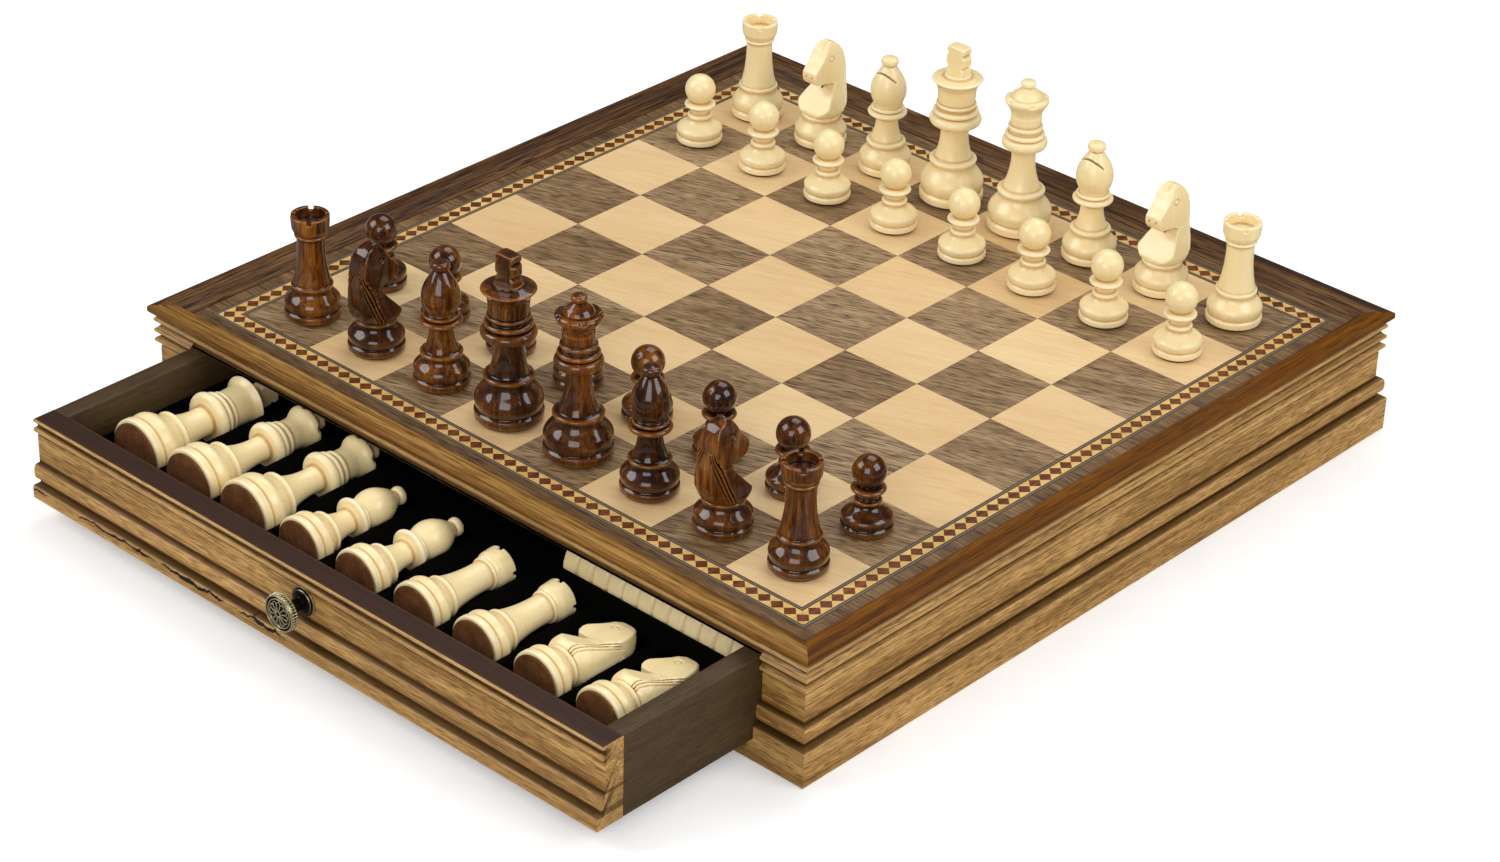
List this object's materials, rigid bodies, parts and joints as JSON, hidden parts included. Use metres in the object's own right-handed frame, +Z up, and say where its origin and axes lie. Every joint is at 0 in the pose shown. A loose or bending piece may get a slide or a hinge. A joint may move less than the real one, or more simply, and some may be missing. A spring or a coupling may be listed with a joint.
{
  "type": "chess box with drawers",
  "caption": "Square inlaid chessboard on a moulded box with a drawer at the front and one at the rear, fitted trays, and turned chessmen set up and stored.",
  "frame": {"origin": "centre of the underside of the box, on the table", "axes": "+Z up; the front drawer pulls towards -Y and the rear drawer towards +Y; +X is to the right of someone who faces the front drawer"},
  "size_m": [0.381, 0.485, 0.13],
  "materials": {
    "case_walnut": "satin stained walnut",
    "frame_near": "glossy golden-brown walnut",
    "frame_far": "glossy reddish-brown walnut",
    "dark_veneer": "satin greyish walnut veneer",
    "light_veneer": "satin maple veneer",
    "border_walnut": "satin grey-brown walnut veneer",
    "black_stringing": "satin dyed stringing with a pale centre line",
    "diamond_banding": "satin banding of reddish-brown and yellow diamonds",
    "board_ply": "unfinished board",
    "carcase_wood": "unfinished softwood",
    "drawer_wood": "satin dark olive-brown stain",
    "black_velvet": "matte black flocked tray",
    "bronze": "antique bronze",
    "screw_steel": "plated steel",
    "light_men": "semi-gloss cream boxwood",
    "dark_men": "gloss red-brown lacquer"
  },
  "bodies": {
    "case": {"frame_front": "frame_near", "frame_right": "frame_near", "frame_rear": "frame_far", "frame_left": "frame_far", "board_core": "board_ply", "light_squares": "light_veneer", "dark_squares": "dark_veneer", "stringing": "black_stringing", "banding": "diamond_banding", "border_veneer": "border_walnut", "side_left": "case_walnut", "side_right": "case_walnut", "front_stiles": "case_walnut", "rear_stiles": "case_walnut", "top_rail_front": "case_walnut", "top_rail_rear": "case_walnut", "bottom_rail_front": "case_walnut", "bottom_rail_rear": "case_walnut", "bottom_panel": "carcase_wood", "divider": "carcase_wood", "runner_left": "carcase_wood", "runner_right": "carcase_wood", "glue_blocks": "carcase_wood", "bottom_screws": "screw_steel"},
    "front_drawer": {"front_drawer_face": "case_walnut", "front_drawer_side_left": "drawer_wood", "front_drawer_side_right": "drawer_wood", "front_drawer_back": "drawer_wood", "front_drawer_bottom": "drawer_wood", "front_drawer_tray": "black_velvet", "front_knob": "bronze", "front_knob_screw": "screw_steel", "stored_king": "light_men", "stored_queens": "light_men", "stored_bishops": "light_men", "stored_rooks": "light_men", "stored_knights": "light_men", "light_draughts": "light_men"},
    "rear_drawer": {"rear_drawer_face": "case_walnut", "rear_drawer_side_left": "drawer_wood", "rear_drawer_side_right": "drawer_wood", "rear_drawer_back": "drawer_wood", "rear_drawer_bottom": "drawer_wood", "rear_drawer_tray": "black_velvet", "rear_knob": "bronze", "rear_knob_screw": "screw_steel", "dark_draughts": "dark_men"},
    "light_king": {"light_king": "light_men"},
    "light_queen": {"light_queen": "light_men"},
    "light_bishops": {"light_bishops": "light_men"},
    "light_knights": {"light_knights": "light_men"},
    "light_rooks": {"light_rooks": "light_men"},
    "light_pawns": {"light_pawns": "light_men"},
    "dark_king": {"dark_king": "dark_men"},
    "dark_queen": {"dark_queen": "dark_men"},
    "dark_bishops": {"dark_bishops": "dark_men"},
    "dark_knights": {"dark_knights": "dark_men"},
    "dark_rooks": {"dark_rooks": "dark_men"},
    "dark_pawns": {"dark_pawns": "dark_men"}
  },
  "joints": [
    {"name": "front_drawer_slide", "type": "slide", "parent": "case", "child": "front_drawer", "axis": [0, -1, 0], "range_m": [-0.084, 0.0595]},
    {"name": "rear_drawer_slide", "type": "slide", "parent": "case", "child": "rear_drawer", "axis": [0, 1, 0], "range_m": [0, 0.1435]},
    {"name": "light_king_lift", "type": "slide", "parent": "case", "child": "light_king", "axis": [0, 0, 1], "range_m": [0, 0.08]},
    {"name": "light_queen_lift", "type": "slide", "parent": "case", "child": "light_queen", "axis": [0, 0, 1], "range_m": [0, 0.08]},
    {"name": "light_bishops_lift", "type": "slide", "parent": "case", "child": "light_bishops", "axis": [0, 0, 1], "range_m": [0, 0.08]},
    {"name": "light_knights_lift", "type": "slide", "parent": "case", "child": "light_knights", "axis": [0, 0, 1], "range_m": [0, 0.08]},
    {"name": "light_rooks_lift", "type": "slide", "parent": "case", "child": "light_rooks", "axis": [0, 0, 1], "range_m": [0, 0.08]},
    {"name": "light_pawns_lift", "type": "slide", "parent": "case", "child": "light_pawns", "axis": [0, 0, 1], "range_m": [0, 0.08]},
    {"name": "dark_king_lift", "type": "slide", "parent": "case", "child": "dark_king", "axis": [0, 0, 1], "range_m": [0, 0.08]},
    {"name": "dark_queen_lift", "type": "slide", "parent": "case", "child": "dark_queen", "axis": [0, 0, 1], "range_m": [0, 0.08]},
    {"name": "dark_bishops_lift", "type": "slide", "parent": "case", "child": "dark_bishops", "axis": [0, 0, 1], "range_m": [0, 0.08]},
    {"name": "dark_knights_lift", "type": "slide", "parent": "case", "child": "dark_knights", "axis": [0, 0, 1], "range_m": [0, 0.08]},
    {"name": "dark_rooks_lift", "type": "slide", "parent": "case", "child": "dark_rooks", "axis": [0, 0, 1], "range_m": [0, 0.08]},
    {"name": "dark_pawns_lift", "type": "slide", "parent": "case", "child": "dark_pawns", "axis": [0, 0, 1], "range_m": [0, 0.08]}
  ]
}
